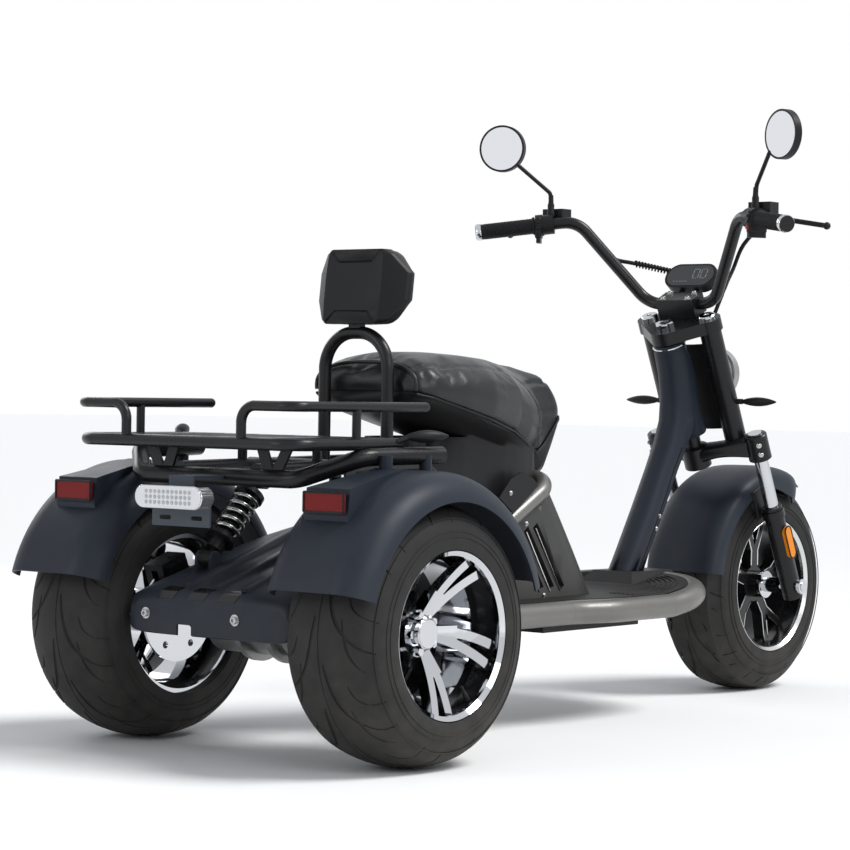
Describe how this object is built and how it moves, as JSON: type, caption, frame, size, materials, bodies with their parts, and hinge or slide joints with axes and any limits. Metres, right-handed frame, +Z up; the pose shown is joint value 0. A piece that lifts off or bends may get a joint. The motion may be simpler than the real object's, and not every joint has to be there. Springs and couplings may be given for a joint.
{
  "type": "electric scooter",
  "caption": "Three-wheeled electric scooter with fat tyres, raked fork, step-through deck, long saddle with backrest, rear fenders and luggage rack",
  "frame": {"origin": "on the ground under the middle of the overall length and width", "axes": "+X forward, +Y to the rider's left, +Z up"},
  "size_m": [2.108, 0.873, 1.257],
  "materials": {
    "slate_plastic": "satin",
    "frame_grey": "satin",
    "frame_black": "satin",
    "black_plastic": "matte",
    "chrome": "polished",
    "motor_alloy": "cast",
    "rim_black": "gloss",
    "rubber": "matte",
    "tyre": "matte",
    "leather": "satin",
    "red_lens": "gloss",
    "amber_lens": "gloss",
    "clear_lens": "gloss",
    "mirror": "polished"
  },
  "bodies": {
    "chassis": {"down_tube": "slate_plastic", "foot_block": "black_plastic", "deck_frame": "frame_grey", "deck_mat": "rubber", "under_tray": "black_plastic", "body_left": "frame_grey", "body_right": "frame_grey", "battery_pack": "black_plastic", "seat_frame": "frame_grey", "seat_pan": "black_plastic", "seat_cushion": "leather", "rear_frame": "frame_black", "backrest_bar": "frame_black", "backrest_pad": "leather", "luggage_rack": "frame_black", "swing_arm": "frame_black", "drive_motor": "motor_alloy", "axle_cover": "slate_plastic", "shock_absorbers": "frame_black", "shock_springs": "chrome", "rear_calipers": "frame_black", "rear_fender_left": "slate_plastic", "rear_fender_right": "slate_plastic", "rear_reflectors": "red_lens", "tail_lamp": "clear_lens", "plate_bracket": "frame_black", "rear_signals": "black_plastic"},
    "fork": {"top_yoke": "frame_black", "lower_yoke": "frame_black", "fork_tubes": "frame_black", "fork_stanchions": "chrome", "fork_sliders": "frame_black", "front_axle": "chrome", "front_fender": "slate_plastic", "front_caliper": "frame_black", "fork_reflectors": "amber_lens", "headlamp": "motor_alloy", "front_signals": "black_plastic", "handlebar": "frame_black", "bar_clamp": "frame_black", "display": "black_plastic", "grips": "rubber", "hand_controls": "black_plastic", "mirrors": "black_plastic", "mirror_glass": "mirror", "control_hoses": "rubber"},
    "front_wheel": {"front_tyre": "tyre", "front_rim": "rim_black"},
    "rear_wheel_left": {"rear_tyre_left": "tyre", "rear_rim_left": "chrome"},
    "rear_wheel_right": {"rear_tyre_right": "tyre", "rear_rim_right": "chrome"}
  },
  "joints": [
    {"name": "steering", "type": "hinge", "parent": "chassis", "child": "fork", "pos_m": [0.76615, 0, 0.21476], "axis": [-0.4226, 0, 0.9063], "range_deg": [-38, 38]},
    {"name": "front_axle_spin", "type": "hinge", "parent": "fork", "child": "front_wheel", "pos_m": [0.816, 0, 0.238], "axis": [0, 1, 0], "continuous": true},
    {"name": "rear_left_spin", "type": "hinge", "parent": "chassis", "child": "rear_wheel_left", "pos_m": [-0.776, 0.32, 0.238], "axis": [0, 1, 0], "continuous": true},
    {"name": "rear_right_spin", "type": "hinge", "parent": "chassis", "child": "rear_wheel_right", "pos_m": [-0.776, -0.32, 0.238], "axis": [0, 1, 0], "continuous": true}
  ]
}
